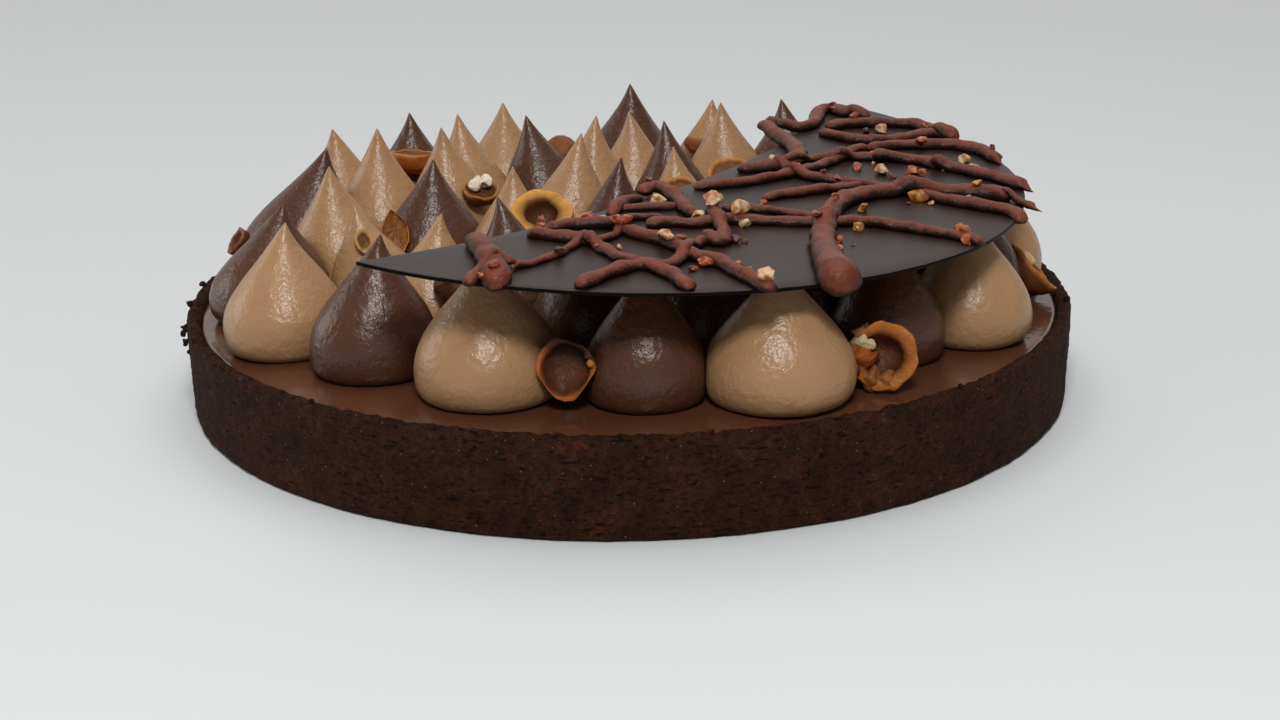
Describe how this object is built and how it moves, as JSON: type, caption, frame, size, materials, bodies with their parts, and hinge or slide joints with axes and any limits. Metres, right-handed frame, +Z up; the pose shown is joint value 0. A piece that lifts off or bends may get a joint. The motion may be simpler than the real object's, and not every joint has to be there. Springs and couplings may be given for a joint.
{
  "type": "chocolate tart",
  "caption": "Round straight-sided chocolate tart filled with ganache, covered in pointed piped cream peaks with hazelnut halves, under a thin tilted chocolate crescent.",
  "frame": {"origin": "centre of the tart's flat underside", "axes": "+Z up; the crescent of chocolate lies over the +X side and towards -Y"},
  "size_m": [0.2006, 0.2006, 0.0547],
  "materials": {
    "crust": "dry baked cocoa shortcrust, rough and crumbly",
    "ganache": "smooth set ganache with a soft sheen",
    "praline_cream": "whipped praline cream, soft satin",
    "cocoa_cream": "whipped milk chocolate cream, soft satin",
    "roasted_nut": "roasted hazelnut, dry",
    "dark_chocolate": "tempered dark chocolate, satin"
  },
  "bodies": {
    "root": {"crust_shell": "crust", "ganache": "ganache", "kiss_praline_01": "praline_cream", "kiss_praline_02": "praline_cream", "kiss_praline_03": "praline_cream", "kiss_praline_04": "praline_cream", "kiss_praline_05": "praline_cream", "kiss_praline_06": "praline_cream", "kiss_praline_07": "praline_cream", "kiss_praline_08": "praline_cream", "kiss_praline_09": "praline_cream", "kiss_praline_10": "praline_cream", "kiss_praline_11": "praline_cream", "kiss_praline_12": "praline_cream", "kiss_praline_13": "praline_cream", "kiss_praline_14": "praline_cream", "kiss_praline_15": "praline_cream", "kiss_praline_16": "praline_cream", "kiss_praline_17": "praline_cream", "kiss_praline_18": "praline_cream", "kiss_praline_19": "praline_cream", "kiss_praline_20": "praline_cream", "kiss_praline_21": "praline_cream", "kiss_praline_22": "praline_cream", "kiss_praline_23": "praline_cream", "kiss_cocoa_01": "cocoa_cream", "kiss_cocoa_02": "cocoa_cream", "kiss_cocoa_03": "cocoa_cream", "kiss_cocoa_04": "cocoa_cream", "kiss_cocoa_05": "cocoa_cream", "kiss_cocoa_06": "cocoa_cream", "kiss_cocoa_07": "cocoa_cream", "kiss_cocoa_08": "cocoa_cream", "kiss_cocoa_09": "cocoa_cream", "kiss_cocoa_10": "cocoa_cream", "kiss_cocoa_11": "cocoa_cream", "kiss_cocoa_12": "cocoa_cream", "kiss_cocoa_13": "cocoa_cream", "kiss_cocoa_14": "cocoa_cream", "kiss_cocoa_15": "cocoa_cream", "kiss_cocoa_16": "cocoa_cream", "kiss_cocoa_17": "cocoa_cream", "kiss_cocoa_18": "cocoa_cream", "kiss_cocoa_19": "cocoa_cream", "kiss_cocoa_20": "cocoa_cream", "hazelnut_01": "roasted_nut", "hazelnut_02": "roasted_nut", "hazelnut_03": "roasted_nut", "hazelnut_04": "roasted_nut", "hazelnut_05": "roasted_nut", "hazelnut_06": "roasted_nut", "hazelnut_07": "roasted_nut", "hazelnut_08": "roasted_nut", "hazelnut_09": "roasted_nut", "hazelnut_10": "roasted_nut", "hazelnut_11": "roasted_nut", "hazelnut_12": "roasted_nut", "hazelnut_13": "roasted_nut", "hazelnut_14": "roasted_nut", "chocolate_crescent": "dark_chocolate"}
  },
  "joints": []
}
